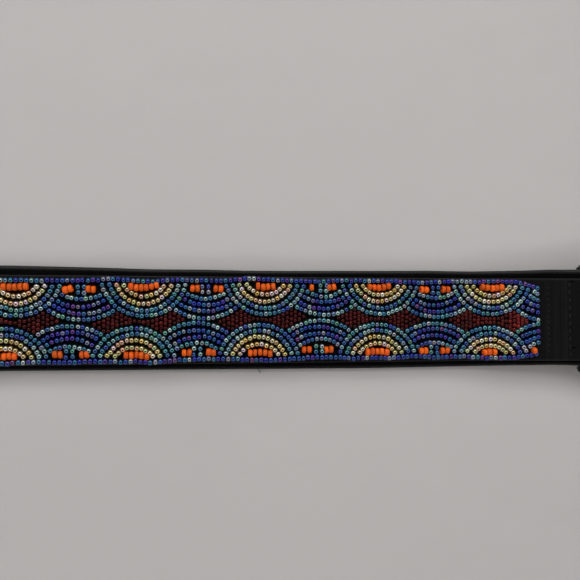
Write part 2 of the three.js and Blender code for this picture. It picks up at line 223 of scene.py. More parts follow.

# %% [markdown]
# ## Leather grain
#
# Belt leather is pressed and dyed. Close up it shows a fine pebble, with longer soft creases
# across it, and its edges are scuffed paler; on the strap that pale rim is also a painted highlight
# where the rounded edge meets the light. One group gives all three: a height for the bump,
# a roughness, and a tone that mixes the dye with its paler colour, scuffed and lit.

# %% The leather grain group
def make_grain_group():
    """Height = pebbles + creases; roughness follows the pebbles; tone = patches + scuffed edges, whose pale rim is
    partly a painted highlight.
    """
    group, given, out = new_group(
        "leather_grain",
        {"Pebble Scale": 1700.0, "Crease Amount": 0.35, "Dull": 0.50, "Shiny": 0.33, "Wear And Highlight": 0.0,
         "Dye": (0.01, 0.01, 0.01, 1.0), "Rubbed And Lit": (0.05, 0.05, 0.05, 1.0)},
        ["Color", "Roughness", "Height"])
    place = add_node(group, "ShaderNodeTexCoord").outputs["Object"]
    bent = add_node(group, "ShaderNodeTexNoise", inputs={"Vector": place, "Scale": 350.0, "Detail": 2.0})
    shifted = add_node(group, "ShaderNodeMix", data_type="VECTOR", inputs={
        "Factor": 0.0012, "A": place, "B": bent.outputs["Color"]}).outputs["Result"]
    pebble = add_node(group, "ShaderNodeTexVoronoi", feature="DISTANCE_TO_EDGE", inputs={
        "Vector": shifted, "Scale": given.outputs["Pebble Scale"]}).outputs["Distance"]
    pebble = add_node(group, "ShaderNodeMapRange", inputs={
        "Value": pebble, "From Min": 0.0, "From Max": 0.35}).outputs["Result"]
    stretched = add_node(group, "ShaderNodeMapping", inputs={"Vector": place, "Scale": (900.0, 130.0, 300.0)})
    crease = add_node(group, "ShaderNodeTexNoise", inputs={
        "Vector": stretched.outputs["Vector"], "Scale": 1.0, "Detail": 3.0, "Roughness": 0.6}).outputs["Fac"]
    deep = add_node(group, "ShaderNodeMath", operation="MULTIPLY", inputs={
        0: crease, 1: given.outputs["Crease Amount"]}).outputs[0]
    height = add_node(group, "ShaderNodeMath", operation="MULTIPLY_ADD", inputs={
        0: pebble, 1: 0.5, 2: deep}).outputs[0]
    rough = add_node(group, "ShaderNodeMapRange", inputs={
        "Value": height, "From Min": 0.1, "From Max": 0.8,
        "To Min": given.outputs["Dull"], "To Max": given.outputs["Shiny"]}).outputs["Result"]
    patch = add_node(group, "ShaderNodeTexNoise", inputs={"Vector": place, "Scale": 60.0, "Detail": 4.0})
    patch = add_node(group, "ShaderNodeMapRange", inputs={
        "Value": patch.outputs["Fac"], "From Min": 0.35, "From Max": 0.75, "To Max": 0.08}).outputs["Result"]
    # Tone = random patches + the piece's pale rim, which is scuffing and a painted edge highlight together.
    tone = add_node(group, "ShaderNodeMath", operation="ADD", use_clamp=True, inputs={
        0: patch, 1: given.outputs["Wear And Highlight"]}).outputs[0]
    colour = add_node(group, "ShaderNodeMix", data_type="RGBA", inputs={
        "Factor": tone, "A": given.outputs["Dye"], "B": given.outputs["Rubbed And Lit"]})
    feed(group, out, Color=colour.outputs["Result"], Roughness=rough, Height=height)
    return group


grain_group = make_grain_group()
print("group:", grain_group.name)


# %% Leather materials
GRAIN_DEPTH = 0.00012


def make_leather(name, dye, rubbed_and_lit, pebble, crease, bump, dull, shiny):
    """Dyed leather: the grain group drives colour, roughness and bump, and the pale rim, scuffing and painted highlight
    together, comes from the piece.
    """
    material, tree, shader = new_material(name, Metallic=0.0, IOR=1.22, Coat_Weight=0.0)
    worn_and_lit = add_node(tree, "ShaderNodeAttribute", attribute_name="wear_and_highlight").outputs["Fac"]
    grain = add_node(tree, "ShaderNodeGroup", node_tree=grain_group, inputs={
        "Pebble Scale": pebble, "Crease Amount": crease, "Dull": dull, "Shiny": shiny,
        "Wear And Highlight": worn_and_lit, "Dye": dye, "Rubbed And Lit": rubbed_and_lit}).outputs
    feed(tree, shader, Base_Color=grain["Color"], Roughness=grain["Roughness"],
         Normal=add_bump(tree, bump, GRAIN_DEPTH, grain["Height"]))
    return material


# The strap's paler rim colour is scuffing and a painted edge highlight together.
strap_leather = make_leather(
    "strap_leather", dye=(0.0008, 0.0008, 0.0008, 1.0), rubbed_and_lit=(0.019, 0.0185, 0.0185, 1.0),
    pebble=1500.0, crease=0.5, bump=0.4, dull=0.32, shiny=0.20)
front_leather = make_leather(
    "front_leather", dye=(0.0028, 0.0027, 0.0029, 1.0), rubbed_and_lit=(0.022, 0.021, 0.022, 1.0),
    pebble=2100.0, crease=0.35, bump=0.5, dull=0.52, shiny=0.36)
print("leathers:", strap_leather.name, front_leather.name)

# %% [markdown]
# ## The strap
#
# The strap is one leather with burnished, rounded edges. Its side view is a line that lies
# flat, climbs a soft ramp to the heel bar, turns round it and comes back as a short flap.
# A rounded section is carried along that line, and its width narrows at the tongue's tip.

# %% The side lines of the leathers
def pair(x, y):
    """Points from two coordinates, where a single number stands for a whole column of itself."""
    return np.stack(np.broadcast_arrays(x, y), -1)


def distances(line):
    """How far each point of a line lies from its start, measured along the line."""
    return np.concatenate([[0.0], np.cumsum(np.hypot(*np.diff(line, axis=0).T))])


def resample(points, step):
    """Points at an even step along a broken line, with its corners smoothed by a short average."""
    far = distances(points)
    marks = np.linspace(0.0, far[-1], max(2, int(far[-1] / step)))
    even = np.column_stack([np.interp(marks, far, points[:, k]) for k in (0, 1)])
    weights = np.array([1.0, 4.0, 6.0, 4.0, 1.0]) / 16.0
    for _ in range(3):
        padded = np.pad(even, ((2, 2), (0, 0)), mode="reflect", reflect_type="odd")
        even = np.column_stack([np.convolve(padded[:, k], weights, mode="valid") for k in (0, 1)])
    return even


def arc_round_bar(radius, start, end, count=40):
    """X = radius × cos a and Z = bar height + radius × sin a, for angles in degrees from +X."""
    angles = np.radians(np.linspace(start, end, count))
    return pair(radius * np.cos(angles), BAR_HEIGHT + radius * np.sin(angles))


FOLD_WRAP = 110.0
middle = STRAP_THICKNESS / 2
climb_x = np.linspace(-(FOLD_SEAM + RAMP_LENGTH), -FOLD_SEAM, 60)
flap_x = np.linspace(-FOLD_SEAM, -FLAP_LENGTH, 14)
flat_end = climb_x[0] - 2.0
flat_part = pair(np.linspace(TIP_X, flat_end, 160), middle)
bent_part = resample(np.vstack([
    [[flat_end, middle]],
    pair(climb_x, lift(climb_x) + middle),
    arc_round_bar((FOLD_INNER + FOLD_OUTER) / 2, FOLD_WRAP, -FOLD_WRAP),
    pair(flap_x, lift(flap_x) - LAYER_GAP - middle),
]), 0.5)
strap_line = np.vstack([flat_part[:-1], bent_part])
print("strap line:", len(strap_line), "places, ends at", strap_line[-1].round(2))


# %% A leather section carried along a line
def rounded_section(steps, flat):
    """Half a rounded rectangle and its mirror: how far across each point's corner stands, and its angle there."""
    corner = (np.arange(steps) + 0.5) * 90.0 / steps
    angles = np.radians(np.concatenate([180.0 - corner, np.full(len(flat), 90.0), 90.0 - corner]))
    share = np.concatenate([-np.ones(steps), flat, np.ones(steps)])
    return np.concatenate([share, share[::-1]]), np.concatenate([angles, -angles[::-1]])


def closed_bar(rows, columns):
    """The faces of a section carried along a line, with both of its ends closed."""
    j = np.arange(columns // 2 - 1)
    cap = np.column_stack([j, j + 1, columns - 2 - j, columns - 1 - j])
    return np.vstack([grid_faces(rows, columns)[:, ::-1], cap, cap[:, ::-1] + (rows - 1) * columns])


RIM_FADE, SPAN_REACH = 0.5, 0.97


def carry_leather(line, half_width, thickness, radius, rim=0.55, spans=10, arc_steps=4):
    """Point = line + Y × y + normal × n. Across the section, y = c × (half width − r) + r × cos a and
    n = ±(thickness / 2 − r) + r × sin a: four rounded corners, with flat spans between them.
    The upper face is paler along its edges, over a rim of the given width: scuffing, and a painted highlight."""
    flat = np.concatenate([[-1.0], np.linspace(-SPAN_REACH, SPAN_REACH, spans + 1), [1.0]])
    share, angles = rounded_section(arc_steps, flat)
    side = np.sign(np.sin(angles))
    half_width, thickness, radius = (np.broadcast_to(v, len(line))[:, None] for v in (half_width, thickness, radius))
    across = share * (half_width - radius) + radius * np.cos(angles)
    raised = side * (thickness / 2 - radius) + radius * np.sin(angles)
    tangent = np.gradient(line, axis=0)
    tangent /= np.linalg.norm(tangent, axis=1, keepdims=True)
    normal = np.column_stack([-tangent[:, 1], tangent[:, 0]])
    points = np.stack([
        line[:, :1] + normal[:, :1] * raised, across, line[:, 1:] + normal[:, 1:] * raised], -1)
    # Pale rim on the upper face: scuffing, and a painted highlight where the rounded edge meets the light.
    wear_and_highlight = np.clip((np.abs(across) - half_width + rim) / RIM_FADE, 0.0, 1.0) * (side > 0)
    return points.reshape(-1, 3), closed_bar(len(line), len(angles)), wear_and_highlight.ravel()


# %% The ends of a line
def end_inset(line, radius):
    """How much the section draws in near the line's ends: r × (1 − √(1 − (1 − d / r)²)) at a distance d."""
    far = distances(line)
    near = np.clip(1.0 - np.minimum(far, far[-1] - far) / radius, 0.0, 1.0)
    return radius * (1.0 - np.sqrt(1.0 - near**2))


def fine_ends(line, radius, count=6):
    """Adds a few close places at both ends of a line, so that its ends can be rounded."""
    steps = radius * (1.0 - np.cos(np.linspace(0.0, np.pi / 2, count + 1)))[:-1, None]
    first = (line[1] - line[0]) / np.linalg.norm(line[1] - line[0])
    last = (line[-2] - line[-1]) / np.linalg.norm(line[-2] - line[-1])
    inner = line[np.minimum(*(np.linalg.norm(line - end, axis=1) for end in (line[0], line[-1]))) > radius]
    return np.vstack([line[0] + first * steps, inner, (line[-1] + last * steps)[::-1]])


# %% The strap's mesh
def tongue_half_width(x):
    """Half the strap's width near the tip: two soft curves to a blunt nose, found along the curve."""
    t = np.linspace(0.0, 1.0, 200)
    half, nose = STRAP_WIDTH / 2, TIP_NOSE / 2
    curve_x = (1 - t) ** 2 * (TIP_X + TIP_LENGTH) + 2 * t * (1 - t) * (TIP_X + TIP_LENGTH / 3) + t**2 * TIP_X
    curve_y = (1 - t) ** 2 * half + 2 * t * (1 - t) * half * 0.9 + t**2 * nose
    return np.interp(x, curve_x[::-1], curve_y[::-1])


# The photograph shows the belt as far as SEEN_TO. Each knot has its x, and how far the edge stands out there.
SEEN_TO = -250.0
EDGE_SEEN = {
    1: [(-250.0, 0.6), (-226.5, 1.17), (-208.5, 0.93), (-190.5, 0.63), (-172.5, 0.19), (-154.5, 0.27), (-136.5, 0.0),
        (-119.0, 0.08), (-101.0, 0.28), (-83.0, 0.4), (-65.0, 0.64), (-46.5, 0.48), (-25.5, 0.89), (-14.5, 1.29),
        (-8.5, 1.3), (-2.4, 1.3), (-1.4, 0.5), (0.0, 0.3)],
    -1: [(-250.0, -0.3), (-226.5, -0.48), (-193.5, -0.3), (-143.5, -0.1), (-88.5, 0.16), (-53.5, -0.1),
         (-28.5, -0.45), (-13.5, -0.56), (-4.0, -0.3), (0.0, -0.2)]}
EDGE_FADE, TIP_FADE = 30.0, 60.0


def edge_wander(points):
    """How far each edge strays from a straight cut: knots near the buckle, then 0.3 sin (x / 41) + 0.15 sin (x / 17),
    with a share of (y / half width)⁴, so that the middle of the strap stays put."""
    x, y = points[:, 0], points[:, 1]
    share = np.clip(np.abs(y) / (STRAP_WIDTH / 2), 0.0, 1.2) ** 4
    beyond = np.clip((SEEN_TO - x) / EDGE_FADE, 0.0, 1.0) * np.clip((x - TIP_X) / TIP_FADE, 0.0, 1.0)
    stray = np.zeros(len(x))
    for side in (1, -1):
        knots = np.array(EDGE_SEEN[side])
        near = np.interp(x, knots[:, 0], knots[:, 1]) * np.clip((x - SEEN_TO + EDGE_FADE) / EDGE_FADE, 0.0, 1.0)
        far = beyond * (0.3 * np.sin(x / 41.0 + side) + 0.15 * np.sin(x / 17.0 + 2.0 * side))
        stray = np.where(side * y > 0, side * (near + far), stray)
    return share * stray


# The pale rim is scuffing and a painted highlight; on the lower edge it keeps only a share of its strength, which is
# painted shade.
EDGE_RADIUS, WORN_AND_LIT_RIM, LOWER_RIM_SHADE = 0.95, 1.3, 0.35
tip_places = TIP_X + TIP_LENGTH * np.linspace(0.0, 1.0, 40) ** 1.6
strap_line = np.vstack([
    pair(tip_places, middle), strap_line[strap_line[:, 0] > TIP_X + TIP_LENGTH + 2.0]])
strap_line = fine_ends(strap_line, EDGE_RADIUS)
inset = end_inset(strap_line, EDGE_RADIUS)
on_top = np.arange(len(strap_line)) < len(strap_line) - len(bent_part)
widths = np.where(on_top, tongue_half_width(strap_line[:, 0]), STRAP_WIDTH / 2) - inset
strap_points, strap_faces, strap_wear_and_highlight = carry_leather(
    strap_line, widths, STRAP_THICKNESS - 2 * inset, EDGE_RADIUS - 0.9 * inset, WORN_AND_LIT_RIM)
# The lower edge's rim is cut to 0.35 of its strength: painted shade, as that edge lies in the belt's own shadow.
strap_wear_and_highlight *= np.where(strap_points[:, 1] > 0, 1.0, LOWER_RIM_SHADE)
strap_points[:, 1] += edge_wander(strap_points)
strap = make_piece("strap_body", strap_points, strap_faces, strap_leather, wear_and_highlight=strap_wear_and_highlight)
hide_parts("strap")
print("strap:", len(strap_faces), "faces")

# %% [markdown]
# ## The holes in the tongue and the slot for the prong
#
# Punched holes are plain cuts. A Boolean with exact solver takes them out of the finished
# strap, and the result is kept as the piece's own mesh.

# %% Punching the strap
HOLE_DIAMETER, HOLE_PITCH, MIDDLE_HOLE = 4.5, 25.0, -762.0
SLOT_HALF, SLOT_START = 2.5, 0.3


def prism(outline, low, high):
    """A closed upright prism: an outline of n points in X and Y, at a low and a high Z, with both ends closed."""
    n = len(outline)
    points = np.vstack([np.column_stack([outline, np.full(n, z)]) for z in (low, high)])
    i = np.arange(n)
    sides = np.column_stack([i, (i + 1) % n, (i + 1) % n + n, i + n]).tolist()
    return points, sides + [list(range(n))[::-1], list(range(n, 2 * n))]


def punch(piece, prisms):
    """Cuts the prisms out of the piece and keeps the cut mesh."""
    material = piece.data.materials[0]
    offset, points, faces = 0, [], []
    for part_points, part_faces in prisms:
        points.append(part_points)
        faces += [[k + offset for k in face] for face in part_faces]
        offset += len(part_points)
    mesh = bpy.data.meshes.new("cutter")
    mesh.from_pydata(to_frame(np.vstack(points)), [], faces)
    cutter = put("cutter", mesh)
    cut = piece.modifiers.new("punch", "BOOLEAN")
    cut.operation, cut.solver, cut.object = "DIFFERENCE", "EXACT", cutter
    seen = piece.evaluated_get(bpy.context.evaluated_depsgraph_get())
    done = bpy.data.meshes.new_from_object(seen)
    piece.modifiers.clear()
    piece.data = done
    if not done.materials:
        done.materials.append(material)
    bpy.data.objects.remove(cutter)


turn = np.linspace(0.0, 2 * np.pi, 33)[:-1]
ring = pair(np.cos(turn), np.sin(turn)) * HOLE_DIAMETER / 2
cuts = [prism(ring + [MIDDLE_HOLE + k * HOLE_PITCH, 0.0], -1.0, STRAP_THICKNESS + 1.0) for k in range(-2, 3)]
slot_end = FOLD_OUTER + 2.0
slot_plan = np.array([[SLOT_START, -SLOT_HALF], [slot_end, -SLOT_HALF], [slot_end, SLOT_HALF], [SLOT_START, SLOT_HALF]])
cuts.append(prism(slot_plan, -1.0, BAR_HEIGHT + FOLD_OUTER + 1.0))
punch(strap, cuts)
sharpen(strap)
print("strap after punching:", len(strap.data.polygons), "faces")

# %% [markdown]
# ## The front leather
#
# The beads are sewn to a thinner leather with a crisper edge. It lies on the strap from a
# little past the far end of the beads to the crest of the fold, where it tucks in at the buckle.
# Between the last beads and the fold it has soft cross creases from being pulled down by
# the seams.

# %% The front leather's mesh
FRONT_EDGE, FRONT_LOW = 0.35, 0.06


def creases(x):
    """Soft cross creases on the tab: a few sines of unlike length, faded in between the seams."""
    share = np.clip((x + 21.0) / 3.0, 0.0, 1.0) * np.clip((-1.5 - x) / 2.0, 0.0, 1.0)
    return share * (0.045 * np.sin(2 * np.pi * x / 3.9) + 0.02 * np.sin(2 * np.pi * x / 1.63 + 1.0))


front_thickness = FRONT_TOP - STRAP_THICKNESS - FRONT_LOW
front_middle = STRAP_THICKNESS + FRONT_LOW + front_thickness / 2
end_angle = np.radians(FOLD_WRAP)
crest = np.array([FOLD_OUTER * np.cos(end_angle), BAR_HEIGHT + FOLD_OUTER * np.sin(end_angle)])
front_bent = resample(np.vstack([
    [[flat_end, front_middle]],
    pair(climb_x, lift(climb_x) + front_middle),
    [crest + [0.0, front_middle - STRAP_THICKNESS]],
]), 0.35)
front_bent[:, 1] += creases(front_bent[:, 0])
front_flat = pair(np.linspace(FRONT_END, flat_end, 120)[:-1], front_middle)
front_line = fine_ends(np.vstack([front_flat, front_bent]), FRONT_EDGE)
inset = end_inset(front_line, FRONT_EDGE)
front_points, front_faces, front_wear = carry_leather(
    front_line, FRONT_WIDTH / 2 - inset, front_thickness - 2 * inset, FRONT_EDGE - 0.9 * inset)
front = make_piece("front_leather_strip", front_points, front_faces, front_leather, wear_and_highlight=front_wear)
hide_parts("front_strip")
# Slits that the needle left: x, y, length along the belt, width across it.
SEAM_HOLES = [(-7.0, 15.3, 1.5, 0.5), (-6.7, -11.3, 1.9, 0.55), (-18.5, -13.1, 1.1, 0.5), (-7.6, 3.9, 0.45, 0.6),
              (-7.3, 8.4, 0.4, 0.5), (-7.5, -3.4, 0.45, 0.55), (-17.9, 6.0, 0.4, 0.5)]
slits = []
for hole_x, hole_y, long, wide in SEAM_HOLES:
    outline = pair(hole_x + long / 2 * np.cos(turn[::2]), hole_y + wide / 2 * np.sin(turn[::2]))
    top = float(lift(hole_x))
    slits.append(prism(outline, top + STRAP_THICKNESS + 0.5, top + FRONT_TOP + 1.0))
punch(front, slits)
sharpen(front)
print("front leather:", len(front_faces), "faces")

# %% [markdown]
# ## The buckle
#
# A plain cast buckle, coated black: a frame with rounded corners, a round heel bar that the
# strap folds round, and a flat prong that rests on the frame's front. The frame is a rounded
# section carried between an inner and an outer outline, so its corners stay true to the
# solid's. All of it leans down to the surface that the belt lies on.

# %% Black metal
speck, speck_in, speck_out = new_group("fine_specks", {"Scale": 900.0, "Low": 0.3, "High": 0.5}, ["Value"])
speck_place = add_node(speck, "ShaderNodeTexCoord").outputs["Object"]
speck_noise = add_node(speck, "ShaderNodeTexNoise", inputs={
    "Vector": speck_place, "Scale": speck_in.outputs["Scale"], "Detail": 5.0, "Roughness": 0.65})
speck_value = add_node(speck, "ShaderNodeMapRange", inputs={
    "Value": speck_noise.outputs["Fac"], "From Min": 0.3, "From Max": 0.7,
    "To Min": speck_in.outputs["Low"], "To Max": speck_in.outputs["High"]})
feed(speck, speck_out, Value=speck_value.outputs["Result"])


def specks(tree, scale, low, high):
    """A value that varies in fine specks between a low and a high one."""
    return add_node(tree, "ShaderNodeGroup", node_tree=speck, inputs={
        "Scale": scale, "Low": low, "High": high}).outputs["Value"]


black_metal, metal_tree, metal_shader = new_material(
    "buckle_metal", Base_Color=(0.008, 0.008, 0.009, 1.0), Metallic=0.55, IOR=1.45, Coat_Weight=0.35,
    Coat_Roughness=0.16)
feed(metal_tree, metal_shader, Roughness=specks(metal_tree, 500.0, 0.28, 0.46),
     Normal=add_bump(metal_tree, 0.25, 0.00003, specks(metal_tree, 2600.0, 0.0, 1.0)))
print("metal:", black_metal.name)

# %% The buckle's frame
BUCKLE_FRONT, BUCKLE_HALF, BUCKLE_INSIDE = 34.2, 24.95, 19.75
BUCKLE_THICKNESS, BUCKLE_ROUND, CORNER = 4.0, 1.35, 8.0
FRONT_BAR_WIDTH, HEEL_OVERHANG, INNER_CORNER = 6.0, 2.2, 2.8
buckle_lean = np.arcsin((BAR_HEIGHT - BUCKLE_THICKNESS / 2 - 0.02) / BUCKLE_FRONT)


def lean(points):
    """Turns points about the heel bar so that the buckle's front comes down, then lifts them to the bar."""
    c, s = np.cos(buckle_lean), np.sin(buckle_lean)
    x, y, z = np.moveaxis(np.asarray(points), -1, 0)
    return np.stack([x * c + z * s, y, -x * s + z * c + BAR_HEIGHT], -1)


def carry_between(inner, outer, thickness, radius):
    """A rounded section between two outlines in plan: middle + outward × (c × (w − r) + r × cos a), and
    Z = ±(thickness / 2 − r) + r × sin a."""
    share, angles = rounded_section(5, np.linspace(-1.0, 1.0, 4))
    outward = outer - inner
    half = np.linalg.norm(outward, axis=1, keepdims=True) / 2
    outward = outward / (2 * half)
    r = np.minimum(radius, half * 0.98)
    sideways = share * (half - r) + r * np.cos(angles)
    plan = ((inner + outer) / 2)[:, None, :] + outward[:, None, :] * sideways[..., None]
    r_up = np.minimum(r, thickness / 2)
    up = np.sign(np.sin(angles)) * (thickness / 2 - r_up) + r_up * np.sin(angles)
    points = np.concatenate([plan, up[..., None]], -1)
    return points.reshape(-1, 3), closed_bar(len(inner), len(angles))


heel_corner = np.array([CORNER - HEEL_OVERHANG, BUCKLE_HALF - CORNER])
heel_start = heel_corner[0] - np.sqrt(CORNER**2 - (BUCKLE_INSIDE + 0.5 - heel_corner[1]) ** 2)
heel_x_places = heel_start + (heel_corner[0] - heel_start) * (1 - np.cos(np.linspace(0, np.pi / 2, 12)))
heel_out = pair(heel_x_places, heel_corner[1] + np.sqrt(CORNER**2 - (heel_x_places - heel_corner[0]) ** 2))
heel_in = pair(heel_x_places, BUCKLE_INSIDE)
arm_x = np.linspace(heel_corner[0], BUCKLE_FRONT - CORNER, 8)[1:]
arm_out = pair(arm_x, BUCKLE_HALF)
arm_end = BUCKLE_FRONT - FRONT_BAR_WIDTH - INNER_CORNER
arm_in = pair(np.minimum(arm_x, arm_end), BUCKLE_INSIDE)
corner_turn = np.radians(np.linspace(90.0, 0.0, 14))[1:]
corner_dir = pair(np.cos(corner_turn), np.sin(corner_turn))
corner_out = np.array([BUCKLE_FRONT - CORNER, BUCKLE_HALF - CORNER]) + CORNER * corner_dir
corner_in = np.array([arm_end, BUCKLE_HALF - CORNER]) + INNER_CORNER * corner_dir
front_y = np.linspace(BUCKLE_HALF - CORNER, 0.0, 6)[1:]
bar_out = pair(BUCKLE_FRONT, front_y)
bar_in = pair(BUCKLE_FRONT - FRONT_BAR_WIDTH, front_y)
outer_half = np.vstack([heel_out, arm_out, corner_out, bar_out])
inner_half = np.vstack([heel_in, arm_in, corner_in, bar_in])
mirror = np.array([1.0, -1.0])
outer_line = np.vstack([outer_half, (outer_half * mirror)[-2::-1]])
inner_line = np.vstack([inner_half, (inner_half * mirror)[-2::-1]])
frame_points, frame_faces = carry_between(inner_line, outer_line, BUCKLE_THICKNESS, BUCKLE_ROUND)
buckle_frame = make_piece("buckle_frame", lean(frame_points), frame_faces[:, ::-1], black_metal)
print("buckle frame:", len(frame_faces), "faces")


# %% The heel bar
def closed_tube(rows, sides):
    """The faces of a round grid, with one flat face at each of its ends."""
    end = np.arange(sides)
    return grid_faces(rows, sides).tolist() + [end[::-1].tolist(), (end + (rows - 1) * sides).tolist()]


BAR_RADIUS, BAR_INSET = 2.0, 1.5
bar_angle = np.linspace(0.0, 2 * np.pi, 33)[:-1]
bar_y = np.linspace(-BUCKLE_INSIDE - BAR_INSET, BUCKLE_INSIDE + BAR_INSET, 12)
bar_grid = np.stack(np.broadcast_arrays(
    BAR_RADIUS * np.cos(bar_angle), bar_y[:, None], BAR_RADIUS * np.sin(bar_angle)), -1)
bar_faces = closed_tube(len(bar_y), len(bar_angle))
heel_bar = make_piece("buckle_heel_bar", lean(bar_grid.reshape(-1, 3)), bar_faces, black_metal)
print("heel bar:", len(bar_faces), "faces")

# %% The prong
PRONG_WIDTH, PRONG_THICKNESS, PRONG_SINK, PRONG_PAST = 3.6, 3.0, 0.6, 1.1
PRONG_LANDS, PRONG_TAPERS = 28.2, 31.0
prong_end = BUCKLE_FRONT + PRONG_PAST
prong_x = np.concatenate([np.linspace(0.0, 27.0, 16), np.linspace(PRONG_LANDS, prong_end, 12)])
seat_middle = BUCKLE_THICKNESS / 2 - PRONG_SINK + PRONG_THICKNESS / 2
prong_z = seat_middle * np.clip(prong_x / PRONG_LANDS, 0.0, 1.0) ** 1.15
past = np.clip((prong_x - PRONG_TAPERS) / (prong_end - PRONG_TAPERS), 0.0, 1.0)
prong_half = (PRONG_WIDTH / 2) * np.sqrt(1.0 - 0.80 * past**2.5)
prong_thick = PRONG_THICKNESS * (1.0 - 0.30 * np.clip(prong_x / PRONG_TAPERS, 0, 1)) * np.sqrt(1.0 - 0.85 * past**3)
prong_line = pair(prong_x, prong_z - (PRONG_THICKNESS - prong_thick) * 0.5)
prong_points, prong_faces, _ = carry_leather(
    prong_line, prong_half, prong_thick, np.minimum(prong_half, prong_thick / 2) * 0.75, spans=2, arc_steps=5)
prong = make_piece("buckle_prong", lean(prong_points), prong_faces, black_metal)
for piece in (buckle_frame, heel_bar, prong):
    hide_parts("buckle")
    sharpen(piece, 50.0)
print("buckle:", len(frame_faces) + len(bar_faces) + len(prong_faces), "faces")

# %% [markdown]
# ## Seed beads
#
# A seed bead is a slice of glass tube, tumbled until its edges are round, so it is a short
# barrel with a hole. One bead is a closed ring: five points of its profile, turned about its
# thread. Thousands of them are placed at once by adding a whole array of places to that one
# array of points. None is quite like its neighbour: each gets its own small shift, turn and size.

# %% One bead, and many
BEAD_SIDES = 12
BEAD_PROFILE = np.array([[-0.43, 0.46], [-0.40, 0.84], [0.0, 1.0], [0.40, 0.84], [0.43, 0.46]])
BEAD_BASE = FRONT_TOP + 0.05
bead_faces = grid_faces(BEAD_SIDES, len(BEAD_PROFILE), wrap_rows=True)
bead_angle = 2 * np.pi * np.arange(BEAD_SIDES) / BEAD_SIDES
rng = np.random.default_rng(4263)


def bead_table(x, y, thread_x, thread_y, wide, long):
    """A row for each bead: its place, the direction of its thread, its diameter and its length."""
    return np.stack(np.broadcast_arrays(x, y, thread_x, thread_y, wide, long), -1)


def place_beads(rows):
    """Every bead of a table at once: centre + thread × (u × length) + side × (r × cos a) + up × (r × sin a)."""
    x, y, tx, ty, wide, long = rows.T
    count = len(rows)
    yaw = np.arctan2(ty, tx) + rng.normal(0.0, 0.09, count)
    roll = rng.normal(0.0, 0.05, count)
    wide = wide * np.clip(rng.normal(1.0, 0.035, count), 0.9, 1.1)
    long = long * np.clip(rng.normal(1.0, 0.06, count), 0.85, 1.15)
    x = x + rng.normal(0.0, 0.07, count)
    y = y + rng.normal(0.0, 0.09, count)
    z = BEAD_BASE + wide / 2 + np.abs(rng.normal(0.0, 0.05, count))
    thread = np.stack([np.cos(yaw) * np.cos(roll), np.sin(yaw) * np.cos(roll), np.sin(roll)], -1)
    side = np.stack([-np.sin(yaw), np.cos(yaw), np.zeros(count)], -1)
    up = np.cross(thread, side)
    u = BEAD_PROFILE[None, None, :, 0, None] * long[:, None, None, None]
    r = BEAD_PROFILE[None, None, :, 1, None] * wide[:, None, None, None] / 2
    cos_a, sin_a = (f(bead_angle)[None, :, None, None] for f in (np.cos, np.sin))
    points = (np.stack([x, y, z], -1)[:, None, None, :] + thread[:, None, None, :] * u
              + side[:, None, None, :] * r * cos_a + up[:, None, None, :] * r * sin_a)
    points[..., 2] += lift(points[..., 0])
    faces = bead_faces[None] + np.arange(count)[:, None, None] * BEAD_SIDES * len(BEAD_PROFILE)
    return points.reshape(-1, 3), faces.reshape(-1, 4)


print("one bead:", len(bead_faces), "faces")

# %% [markdown]
# ## The finish of the glass
#
# Most of these beads are dark glass with an iris coating, a thin metal film that shines blue,
# green and violet. The shine comes from the light low round the room, and the dark glass shows
# where a bead faces straight up, so each one looks like a bright ring. Each bead carries its
# own two colours as an attribute, one for each side of it, and the material reads that. The
# strings mix their colours as the maker picked them up, so a palette is a few colours and
# how often each is met.

# %% Bead palettes
PALETTES = {
    "border": (0.30, [(0.015, 0.045, 0.60), (0.03, 0.12, 0.60), (0.11, 0.035, 0.50), (0.03, 0.26, 0.56),
                      (0.30, 0.10, 0.42), (0.66, 0.80, 0.80), (0.07, 0.42, 0.52)],
               [0.30, 0.23, 0.15, 0.11, 0.05, 0.11, 0.05]),
    "teal": (0.35, [(0.05, 0.27, 0.48), (0.11, 0.46, 0.52), (0.03, 0.13, 0.52), (0.62, 0.88, 0.84),
                    (0.18, 0.52, 0.38), (0.06, 0.09, 0.52), (0.58, 0.54, 0.64)],
             [0.22, 0.18, 0.17, 0.20, 0.08, 0.08, 0.07]),
    "violet": (0.35, [(0.015, 0.05, 0.62), (0.02, 0.13, 0.58), (0.11, 0.035, 0.52), (0.03, 0.26, 0.54),
                      (0.50, 0.60, 0.68), (0.30, 0.07, 0.36)],
               [0.28, 0.22, 0.15, 0.16, 0.13, 0.06]),
    "gold": (0.30, [(0.58, 0.39, 0.11), (0.66, 0.53, 0.26), (0.52, 0.46, 0.17), (0.60, 0.33, 0.22),
                    (0.40, 0.45, 0.22), (0.70, 0.66, 0.56), (0.60, 0.48, 0.58)],
             [0.20, 0.20, 0.14, 0.14, 0.10, 0.13, 0.09]),
    "orange": (0.10, [(0.95, 0.135, 0.004), (0.90, 0.110, 0.003)], [0.7, 0.3]),
    "garnet": (0.15, [(0.16, 0.010, 0.010), (0.22, 0.014, 0.013), (0.10, 0.008, 0.008), (0.32, 0.022, 0.02)],
               [0.42, 0.30, 0.20, 0.08]),
}
DEPTH = {"border": 0.35, "teal": 0.39, "violet": 0.35, "gold": 0.72, "orange": 0.86, "garnet": 0.29}
RED_SPOT_X, RED_SPOT_REACH, RED_SPOT_GAIN = -29.4, 2.8, 2.0


